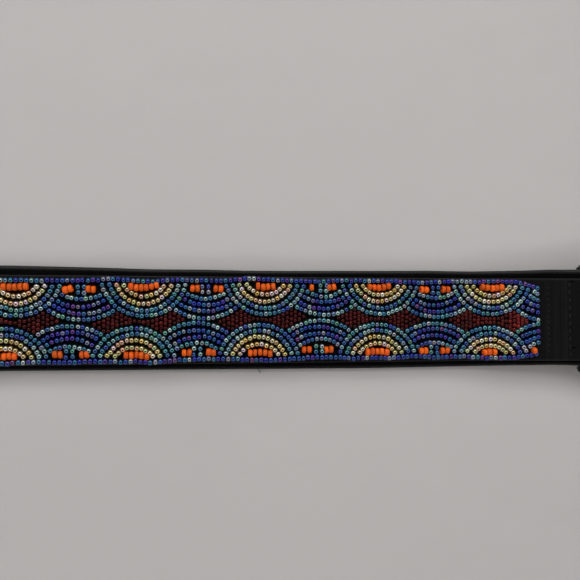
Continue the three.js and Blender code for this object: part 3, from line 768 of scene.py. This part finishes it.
def paint_beads(kind, table):
    """Two colours for each bead, mixed round it: first + (second − first) × (½ + ½ cos (a − a₀)) × 2 × swing.
    The dark red ones are brighter in one place: colour × (1 + gain × e^−((x − x₀) / reach)²)."""
    count = len(table)
    swing, colours, weights = PALETTES[kind]
    colours = np.array(colours) * DEPTH[kind]
    first, second = (colours[rng.choice(len(colours), count, p=weights)] for _ in range(2))
    first = first * rng.uniform(0.75, 1.2, (count, 1))
    start = rng.uniform(0.0, 2 * np.pi, (count, 1))
    mix = (0.5 + 0.5 * np.cos(bead_angle[None, :] - start)) * swing * 2
    shade = first[:, None, :] + (second - first)[:, None, :] * np.clip(mix, 0, 1)[..., None]
    if kind == "garnet":
        near = np.exp(-((table[:, 0] - RED_SPOT_X) / RED_SPOT_REACH) ** 2)
        shade = shade * (1.0 + RED_SPOT_GAIN * near)[:, None, None]
    return np.repeat(shade[:, :, None, :], len(BEAD_PROFILE), axis=2).reshape(-1, 3)


# %% Bead glass
def make_glass(name, low, high, **values):
    """Coated glass: colour from each bead's attribute, with faint specks in its roughness."""
    material, tree, shader = new_material(name, **values)
    own = add_node(tree, "ShaderNodeAttribute", attribute_name="bead_colour").outputs["Color"]
    feed(tree, shader, Base_Color=own, Roughness=specks(tree, 1500.0, low, high))
    return material


iris_glass = make_glass("bead_iris_glass", 0.03, 0.06, Metallic=0.9, IOR=1.45, Coat_Weight=0.45, Coat_Roughness=0.02)
gold_glass = make_glass("bead_gold_glass", 0.04, 0.08, Metallic=0.88, IOR=1.5, Coat_Weight=0.5, Coat_Roughness=0.02)
orange_glass = make_glass("bead_orange_glass", 0.30, 0.42, Metallic=0.0, IOR=1.35, Coat_Weight=0.0)
garnet_glass = make_glass("bead_garnet_glass", 0.12, 0.22, Metallic=0.5, IOR=1.35, Coat_Weight=0.0)
print("glass:", iris_glass.name, gold_glass.name, orange_glass.name, garnet_glass.name)

# %% [markdown]
# ## The pattern
#
# The maker worked in rows. A border row runs along each edge. Suns hang from the borders:
# two rows of teal and two of gold, round a bar of large orange beads. Between them waves rise
# to the middle, in teal and violet, with pairs of orange at their feet. The two halves meet
# in the middle at each wave, and dark red beads fill the islands that are left. The lower
# half was sewn by eye, and lags behind the upper one by a little that swings along the belt.

# %% Where the suns and waves stand
SUN_COUNT, FIRST_SUN, PERIOD = 14, -40.3, 45.2
BORDER_ROW, ROW_LIMIT = {1: 14.9, -1: 15.15}, 2.0
SUN_Y, SUN_ROWS = 17.6, (15.6, 13.2, 10.8, 8.4)
WAVE_Y, WAVE_ROWS = 21.8, (20.65, 18.25, 15.8, 13.35)
BEAD_WIDE, BEAD_LONG, BEAD_PITCH = 2.25, 1.95, 1.8
END_DRAW, END_REACH, END_ROOM, LOWER_END = {1: 3.2, -1: 2.3}, 14.0, 1.6, 0.9
EXTRA_ROW, SUN_CLEAR = 2.45, 2.05
LAG_MEAN, LAG_SWING, LAG_LENGTH = 2.4, 1.6, 360.0


def lag(x):
    """How far the lower half lies behind the upper: mean − swing × cos of the distance along the belt."""
    return LAG_MEAN - LAG_SWING * np.cos(2 * np.pi * (x - FIRST_SUN) / LAG_LENGTH)


def motif_places(side, first, count):
    """The centres of one edge's suns or waves along X, one period apart."""
    places = first - PERIOD * np.arange(count)
    return places if side > 0 else places - lag(places)


def motif_heights(side, height, seen, count):
    """Height of each motif's centre above the middle, with the shifts along +Y that were seen on the first five."""
    stray = np.concatenate([seen, rng.normal(0.0, 0.3, count - len(seen))])
    return height + side * stray


sun_places = {side: motif_places(side, FIRST_SUN, SUN_COUNT) for side in (1, -1)}
wave_places = {side: motif_places(side, FIRST_SUN + PERIOD / 2, SUN_COUNT + 1) for side in (1, -1)}
SUN_STRAY = {1: [0.1, 0.2, 0.2, -0.6, -0.6], -1: [-1.0, 0.3, 0.3, -0.75, -0.8]}
WAVE_STRAY = {1: [-1.35, -0.2, 0.8, -0.35, -1.05], -1: [-0.5, -0.2, 0.95, -0.15, -0.9]}
sun_heights = {side: motif_heights(side, SUN_Y, SUN_STRAY[side], SUN_COUNT) for side in (1, -1)}
wave_heights = {side: motif_heights(side, WAVE_Y, WAVE_STRAY[side], SUN_COUNT + 1) for side in (1, -1)}
print("suns:", sun_places[1][:3].round(1), "lower:", sun_places[-1][:3].round(1))

# %% The border rows
# Each knot has its x, and the height of the border row there above the middle of the belt.
BORDER_SEEN = {
    1: [(-250.0, 14.9), (-226.0, 14.4), (-204.0, 14.4), (-187.0, 15.1), (-174.0, 14.3), (-163.0, 15.0), (-147.0, 14.7),
        (-138.0, 15.7), (-132.0, 15.6), (-124.0, 15.1), (-110.0, 14.7), (-101.0, 15.15), (-81.0, 15.1), (-69.0, 14.5),
        (-57.0, 15.1), (-38.0, 15.15), (-34.0, 15.1)],
    -1: [(-250.0, 15.15), (-225.0, 15.5), (-212.0, 15.0), (-204.0, 15.3), (-195.0, 15.0), (-184.0, 15.35),
         (-178.0, 15.1), (-173.6, 15.7), (-165.0, 14.9), (-151.0, 14.5), (-142.0, 14.7), (-129.0, 15.3),
         (-115.0, 14.4), (-101.0, 14.3), (-96.0, 14.9), (-86.0, 14.6), (-82.0, 14.9), (-72.0, 14.2), (-62.0, 14.8),
         (-52.0, 14.4), (-42.5, 15.1), (-33.0, 15.1)]}
BORDER_FADE, BORDER_SWAY, BORDER_STRETCH = 20.0, 0.9, 0.6


def border_line(x, side):
    """Height of the border row above the belt's middle: it draws in towards both ends by draw × s²."""
    near = np.clip((x - (PANEL_NEAR - END_REACH)) / END_REACH, 0.0, 1.0)
    far = np.clip(((PANEL_FAR + END_REACH) - x) / END_REACH, 0.0, 1.0)
    knots = np.array(BORDER_SEEN[side])
    beyond = np.clip((SEEN_TO - x) / BORDER_FADE, 0.0, 1.0)
    height = np.interp(x, knots[:, 0], knots[:, 1]) + beyond * BORDER_SWAY * sway(x * BORDER_STRETCH, side + 5)
    return height - END_DRAW[side] * (near**2 + far**2)


def sway(x, key):
    """A slow drift of a hand-sewn row off its true line: two sines with their own phases."""
    return 0.20 * np.sin(x / 5.3 + 2.1 * key) + 0.13 * np.sin(x / 11.9 + 1.3 * key)


print("border heights at three places:", border_line(np.array([-50.0, -200.0, -600.0]), 1).round(2))


# %% Rows of beads
DIRECTION_REACH = 0.3


def string_beads(line):
    """Small beads at an even pitch along a line of points, each turned along it."""
    far = distances(line)
    count = int(round(far[-1] / BEAD_PITCH)) + 1
    marks = np.linspace(0.0, far[-1], count) if count > 1 else far[-1:] / 2
    x, y = (np.interp(marks, far, line[:, k]) for k in (0, 1))
    ahead, behind = np.minimum(marks + DIRECTION_REACH, far[-1]), np.maximum(marks - DIRECTION_REACH, 0.0)
    direction = np.array([np.interp(ahead, far, line[:, k]) - np.interp(behind, far, line[:, k]) for k in (0, 1)])
    direction /= np.linalg.norm(direction, axis=0)
    return bead_table(x, y, *direction, BEAD_WIDE, BEAD_LONG)


def arc_row(side, centre_x, centre_y, radius, keep, key):
    """One round row: x = centre + r × sin a, y = side × (centre − r × cos a), where keep(x, y) allows it."""
    angle = np.linspace(-np.pi / 2, np.pi / 2, 721)
    x = centre_x + radius * np.sin(angle)
    y = centre_y - (radius + sway(x, key)) * np.cos(angle)
    allowed = keep(x, y)
    cuts = np.flatnonzero(np.diff(allowed.astype(int))) + 1
    runs = [run for run in np.split(np.arange(len(x)), cuts) if allowed[run[0]] and len(run) > 3]
    return [string_beads(pair(x[run], side * y[run])) for run in runs]


def inside_panel(x, y, side):
    """Where a bead has room between the panel's ends and under its border row."""
    return (x < PANEL_NEAR - END_ROOM) & (x > PANEL_FAR + END_ROOM) & (y < border_line(x, side) - ROW_LIMIT)


rows = {kind: {1: [], -1: []} for kind in ("border", "sun_teal", "sun_gold", "wave_teal", "wave_violet")}
for side in (1, -1):
    x = np.linspace(PANEL_FAR + END_ROOM, PANEL_NEAR - END_ROOM - (LOWER_END if side < 0 else 0.0), 4000)
    rows["border"][side].append(string_beads(pair(x, side * border_line(x, side))))
    suns, waves = list(zip(sun_places[side], sun_heights[side])), list(zip(wave_places[side], wave_heights[side]))
    for k, (centre, height) in enumerate(suns):
        for r, radius in enumerate(SUN_ROWS):
            kind = "sun_teal" if r < 2 else "sun_gold"
            rows[kind][side] += arc_row(side, centre, height, radius, lambda x, y: inside_panel(x, y, side), 7 * k + r)
    for k, (centre, height) in enumerate(waves):
        def beside_suns(x, y):
            away = np.min([np.hypot(x - sun_x, y - sun_y) for sun_x, sun_y in suns], axis=0)
            return inside_panel(x, y, side) & (away > SUN_ROWS[0] + SUN_CLEAR)
        near_buckle = (WAVE_ROWS[-1] - EXTRA_ROW,) if side > 0 and k == 0 else ()
        for r, radius in enumerate(WAVE_ROWS + near_buckle):
            kind = "wave_violet" if r in (1, 2) else "wave_teal"
            rows[kind][side] += arc_row(side, centre, height, radius, beside_suns, 11 * k + r + 3)
print({kind: [sum(len(r) for r in sides[s]) for s in (1, -1)] for kind, sides in rows.items()})

# %% [markdown]
# ## Orange bars, pairs and the small beads beside them
#
# Each sun holds a bar of three to six large opaque beads, and each wave two pairs. They
# vary as the maker ran out of room, so the first few motifs have their own counts and
# shifts, and the rest of the belt draws them from the same habits.

# %% Large beads
LARGE_WIDE, LARGE_PITCH, LARGE_LONG = 2.8, 1.88, 1.9
# How many beads a bar has, and how far along X it lies from the sun's centre. Pairs have the same, twice a wave.
SEEN_BARS = {1: [(5, 0.3), (5, -0.5), (4, 0.1), (6, -0.1), (5, -0.6)],
             -1: [(3, -0.1), (5, -0.1), (5, 0.4), (5, 0.9), (5, 0.0)]}
SEEN_PAIRS = {1: [((0, 0.0), (0, 0.0)), ((2, -4.9), (2, 3.9)), ((1, -4.7), (2, 3.1)), ((2, -3.9), (2, 4.7)),
                  ((2, -4.7), (2, 3.4))],
              -1: [((1, -5.0), (0, 0.0)), ((2, -4.4), (2, 4.5)), ((2, -4.8), (2, 3.7)), ((2, -3.8), (2, 5.1)),
                   ((2, -4.1), (2, 5.2))]}
BAR_LINE, PAIR_LINE, PAIR_REACH = 12.55, 12.05, 4.4
SEEN_MOTIFS, FOLLOW, BEND_REST = 5, 0.6, 4.0
FOOT_X, FOOT_Y = np.array([-1.15, 1.05, -1.2, 1.15]), np.array([10.7, 10.7, 12.8, 12.8])


def large_row(count, centre, line, side, turn=0.0, bend=0.0):
    """A short row of large beads about a centre, turned as a whole, its ends bent out by bend × offset²."""
    offsets = (np.arange(count) - (count - 1) / 2) * LARGE_PITCH
    x = centre + offsets * np.cos(turn)
    y = side * (line + bend * (offsets**2 - BEND_REST)) + offsets * np.sin(turn)
    return bead_table(x, y, np.cos(turn), np.sin(turn), LARGE_WIDE, LARGE_LONG)


bars, pairs, feet = [], [], {1: [], -1: []}
for side in (1, -1):
    for k, centre in enumerate(sun_places[side]):
        if k < SEEN_MOTIFS:
            count, shift = SEEN_BARS[side][k]
        else:
            count, shift = int(rng.choice([4, 5, 5, 6])), float(rng.normal(0.0, 0.5))
        line = BAR_LINE + FOLLOW * (sun_heights[side][k] - SUN_Y)
        bars.append(large_row(count, centre + shift, line, side, rng.normal(0.0, 0.03), rng.uniform(0.0, 0.045)))
    for k, centre in enumerate(wave_places[side]):
        follow = FOLLOW * (wave_heights[side][k] - WAVE_Y)
        if k < SEEN_MOTIFS:
            both = SEEN_PAIRS[side][k]
        else:
            both = [(2, s * PAIR_REACH + float(rng.normal(0.0, 0.35))) for s in (-1, 1)]
        for count, shift in both:
            x = centre + shift
            if count and PANEL_FAR + 2.0 < x < PANEL_NEAR - 1.0:
                pairs.append(large_row(count, x, PAIR_LINE + follow, side, rng.normal(0.0, 0.12)))
        foot_x = centre + FOOT_X
        ok = (foot_x < PANEL_NEAR - 1.5) & (foot_x > PANEL_FAR + 1.5)
        feet[side].append(bead_table(foot_x, side * (FOOT_Y + follow), 1.0, 0.0, BEAD_WIDE, BEAD_LONG)[ok])
print("bars:", sum(map(len, bars)), "pairs:", sum(map(len, pairs)), "feet:", sum(len(f) for s in feet for f in feet[s]))

# %% [markdown]
# ## The garnet islands
#
# The dark red beads are a size smaller and stand in columns across the belt. Each column
# fills the room between the lowest row of the upper half and the highest row of the lower
# one. Where there is room for a single bead, at a sun, the columns shrink to one row.

# %% Columns of dark red beads
GARNET_WIDE, GARNET_LONG, GARNET_PITCH_X, GARNET_PITCH_Y, GARNET_CLEAR = 1.7, 1.65, 1.6, 1.55, 2.0
ISLAND_END, LEAST_ROOM = 5.0, -0.3


def inner_edge(x, side):
    """The height at x of a half's innermost row: the lowest of its sun and wave rows there."""
    reach = np.full(len(x), BORDER_ROW[side])
    for centres, heights, radius in ((sun_places[side], sun_heights[side], SUN_ROWS[0]),
                                     (wave_places[side], wave_heights[side], WAVE_ROWS[0])):
        inside = np.clip(radius**2 - (x[:, None] - centres[None, :]) ** 2, 0.0, None)
        reach = np.minimum(reach, np.min(np.where(inside > 0, heights - np.sqrt(inside), BORDER_ROW[side]), axis=1))
    return reach


garnet = []
for k in range(SUN_COUNT):
    middle_x = (sun_places[1][k] + sun_places[-1][k]) / 2
    count = int(PERIOD / GARNET_PITCH_X / 2)
    columns = middle_x + GARNET_PITCH_X * np.arange(-count, count + 1)
    half_island = PERIOD / 2 - ISLAND_END
    columns = columns[(columns < middle_x + half_island) & (columns > middle_x - half_island)]
    columns = columns[(columns < PANEL_NEAR - 2.0) & (columns > PANEL_FAR + 2.0)]
    top, low = inner_edge(columns, 1) - GARNET_CLEAR, -(inner_edge(columns, -1) - GARNET_CLEAR)
    for x, high, bottom in zip(columns, top, low):
        room = high - bottom
        if room < LEAST_ROOM:
            continue
        n = 1 + int(round(max(room, 0.0) / GARNET_PITCH_Y))
        y = np.linspace(bottom, high, n) if n > 1 else np.array([(high + bottom) / 2])
        garnet.append(bead_table(x, y, 0.0, 1.0, GARNET_WIDE, GARNET_LONG))
print("garnet beads:", sum(map(len, garnet)))


# %% Sew the beads down
def sew(name, kind, parts, material, replaced):
    """One joined mesh of beads, painted from a palette, that stands for the named solids."""
    table = np.vstack(parts)
    points, faces = place_beads(table)
    piece = make_piece(name, points, faces, material, colours=paint_beads(kind, table))
    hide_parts(*replaced)
    print(f"{name}: {len(table)} beads, {2 * len(faces)} triangles")
    return 2 * len(faces)


ROW_KINDS = [
    ("border", "border", iris_glass, "bead_blue"), ("sun_teal", "teal", iris_glass, "bead_blue"),
    ("sun_gold", "gold", gold_glass, None), ("wave_teal", "teal", iris_glass, "bead_blue"),
    ("wave_violet", "violet", iris_glass, "bead_blue")]
total = 0
islands = [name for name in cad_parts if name.startswith("garnet_island")]
for side, half in ((1, "upper"), (-1, "lower")):
    rows["wave_teal"][side] += feet[side]
    for kind, palette, glass, slot in ROW_KINDS:
        total += sew(f"{kind}_beads_{half}", palette, rows[kind][side], glass, [f"bead_field_{half}"])
fields = ["bead_field_upper", "bead_field_lower"]
total += sew("orange_bars", "orange", bars, orange_glass, fields)
total += sew("orange_pairs", "orange", pairs, orange_glass, fields)
total += sew("garnet_beads", "garnet", garnet, garnet_glass, islands)
print("beadwork:", total, "triangles")

# %% [markdown]
# ## Stitches
#
# Two seams cross the belt behind the buckle: a fine one close to the beads and a heavier one
# that closes the fold. A third, at the far end, holds the front leather's tail. Each stitch
# is a short waxed thread that comes up through the leather and goes down again, so it is a
# little arch with round ends.

# %% Stitch mesh
def make_stitches(name, x_line, y_places, z_line, length, width, turned):
    """Small arches along u from −1 to 1, with w = width × √(1 − u²): x across is w × cos a, and the height
    is w × (0.55 + 0.45 sin a) − 0.45 × width."""
    u, sides = np.linspace(-0.96, 0.96, 9), 8
    around = 2 * np.pi * np.arange(sides) / sides
    dome = np.sqrt(1.0 - u**2)[:, None]
    along = (u * length / 2)[:, None]
    x = x_line + width * dome * np.cos(around) + along * turned
    y = y_places[:, None, None] + along
    z = z_line + width * (dome * (0.55 + 0.45 * np.sin(around)) - 0.45)
    points = np.stack(np.broadcast_arrays(x, y, z), -1).reshape(-1, 3)
    step = np.arange(len(y_places))[:, None] * x.size
    faces = (grid_faces(len(u), sides)[None] + step[..., None]).reshape(-1, 4).tolist()
    for cap in (np.arange(sides)[::-1], np.arange(sides) + x.size - sides):
        faces += (cap + step).tolist()
    recalculate(make_piece(name, points, faces, waxed_thread))
    print(name, len(y_places), "stitches")


waxed_thread, thread_tree, thread_shader = new_material(
    "waxed_thread", Base_Color=(0.0045, 0.0043, 0.0045, 1.0), IOR=1.3, Coat_Weight=0.0)
thread_twist = add_node(thread_tree, "ShaderNodeTexWave", wave_type="BANDS", bands_direction="DIAGONAL", inputs={
    "Vector": add_node(thread_tree, "ShaderNodeTexCoord").outputs["Object"], "Scale": 900.0, "Distortion": 1.5})
feed(thread_tree, thread_shader, Roughness=specks(thread_tree, 1800.0, 0.35, 0.6),
     Normal=add_bump(thread_tree, 0.5, 0.00006, thread_twist.outputs["Fac"]))

FINE_SEAM, FINE_PITCH, HEAVY_PITCH, TAIL_SEAM = -16.7, 2.3, 3.1, 6.0
FINE_STITCH, HEAVY_STITCH = (1.5, 0.26, 0.1), (2.3, 0.42, 0.08)
fine_y = np.arange(-12.65, 12.7, FINE_PITCH)
heavy_y = np.arange(-13.95, 14.0, HEAVY_PITCH)
fine_top = float(lift(FINE_SEAM)) + FRONT_TOP + float(creases(np.array(FINE_SEAM)))
make_stitches("seam_by_beads", FINE_SEAM, fine_y, fine_top, *FINE_STITCH)
make_stitches("seam_by_fold", -FOLD_SEAM, heavy_y, RISE + FRONT_TOP, *HEAVY_STITCH)
make_stitches("seam_far_end", FRONT_END + TAIL_SEAM, fine_y, FRONT_TOP, *FINE_STITCH)

# %% A loose thread end
TAIL_X, TAIL_Y, TAIL_RADIUS, TAIL_ROWS, TAIL_SIDES = -133.3, -18.8, 0.11, 9, 6
bow = np.linspace(0.0, 1.0, TAIL_ROWS)
tail_path = np.column_stack([
    TAIL_X + 1.1 * bow + 0.15 * np.sin(3.0 * bow), TAIL_Y - 1.75 * bow, 0.55 - 0.35 * bow**2])
tail_turn = 2 * np.pi * np.arange(TAIL_SIDES) / TAIL_SIDES
tail_ring = np.stack([np.cos(tail_turn), 0.5 * np.cos(tail_turn), np.sin(tail_turn)], -1) * TAIL_RADIUS
tail_points = (tail_path[:, None, :] + tail_ring[None]).reshape(-1, 3)
tail_faces = closed_tube(TAIL_ROWS, TAIL_SIDES)
tail = make_piece("loose_thread", tail_points, tail_faces, waxed_thread)
recalculate(tail)
print("loose thread:", len(tail_faces), "faces")

# %% [markdown]
# ## Light and floor
#
# The belt lies on a pale warm-grey cloth. The room is dark overhead and shines in a bright
# band about 30 degrees above the horizon, and that is what gives each bead its ring. One large
# soft lamp beyond the upper edge adds the direction: the lower edge of the belt has a soft
# shadow.

# %% The cloth
cloth, cloth_tree, cloth_shader = new_material("pale_cloth", IOR=1.4, Roughness=0.9)
cloth_place = add_node(cloth_tree, "ShaderNodeTexCoord").outputs["Object"]
cloth_patch, cloth_fold, cloth_weave = (
    add_node(cloth_tree, "ShaderNodeTexNoise", inputs={
        "Vector": cloth_place, "Scale": scale, "Detail": detail, "Distortion": bent}).outputs["Fac"]
    for scale, detail, bent in ((9.0, 3.0, 0.0), (16.0, 2.0, 0.6), (1800.0, 2.0, 0.0)))
cloth_tone = add_node(cloth_tree, "ShaderNodeMix", data_type="RGBA", inputs={
    "Factor": cloth_patch, "A": (0.525, 0.508, 0.500, 1.0), "B": (0.56, 0.54, 0.53, 1.0)})
folds = add_bump(cloth_tree, 0.35, 0.004, cloth_fold)
feed(cloth_tree, cloth_shader, Base_Color=cloth_tone.outputs["Result"],
     Normal=add_bump(cloth_tree, 0.25, 0.0002, cloth_weave, Normal=folds))

FLOOR_REACH, FLOOR_DROP = 3.0, 0.0001
floor_mesh = bpy.data.meshes.new("floor_cloth")
floor_mesh.from_pydata([(sx * FLOOR_REACH, sy * FLOOR_REACH, -FLOOR_DROP) for sx, sy in
                        ((-1, -1), (1, -1), (1, 1), (-1, 1))], [], [(0, 1, 2, 3)])
floor_mesh.materials.append(cloth)
floor = put("floor_cloth", floor_mesh)

# %% The room and the lamp
world = bpy.data.worlds.new("room")
bpy.context.scene.world = world
world.use_nodes = True
sky = world.node_tree
direction = add_node(sky, "ShaderNodeSeparateXYZ", inputs={
    "Vector": add_node(sky, "ShaderNodeTexCoord").outputs["Generated"]})
ramp = add_node(sky, "ShaderNodeValToRGB", inputs={"Fac": direction.outputs["Z"]})
ROOM = [(0.0, 0.04), (0.40, 0.09), (0.45, 3.8), (0.54, 3.8), (0.59, 0.13), (1.0, 0.09)]
WARMTH = np.array([1.0, 0.99, 0.985])
while len(ramp.color_ramp.elements) < len(ROOM):
    ramp.color_ramp.elements.new(0.5)
for element, (at, level) in zip(ramp.color_ramp.elements, ROOM):
    element.position, element.color = at, (*(level * WARMTH), 1.0)
sideways = add_node(sky, "ShaderNodeMapRange", inputs={
    "Value": direction.outputs["Y"], "From Min": -1.0, "From Max": 1.0, "To Min": 0.82, "To Max": 1.18})
feed(sky, sky.nodes["Background"], Color=ramp.outputs["Color"], Strength=sideways.outputs["Result"])

LAMP_SIZE, LAMP_WATTS, LAMP_TILT = (0.7, 0.45), 2.35, -41.6
LAMP_AT = (heel_x - 0.19, 0.55, 0.62)
lamp_data = bpy.data.lights.new("window", "AREA")
lamp_data.shape, lamp_data.energy = "RECTANGLE", LAMP_WATTS
lamp_data.size, lamp_data.size_y = LAMP_SIZE
lamp = put("window", lamp_data)
lamp.location = LAMP_AT
lamp.rotation_euler = (np.radians(LAMP_TILT), 0.0, 0.0)
print("room levels:", ROOM)
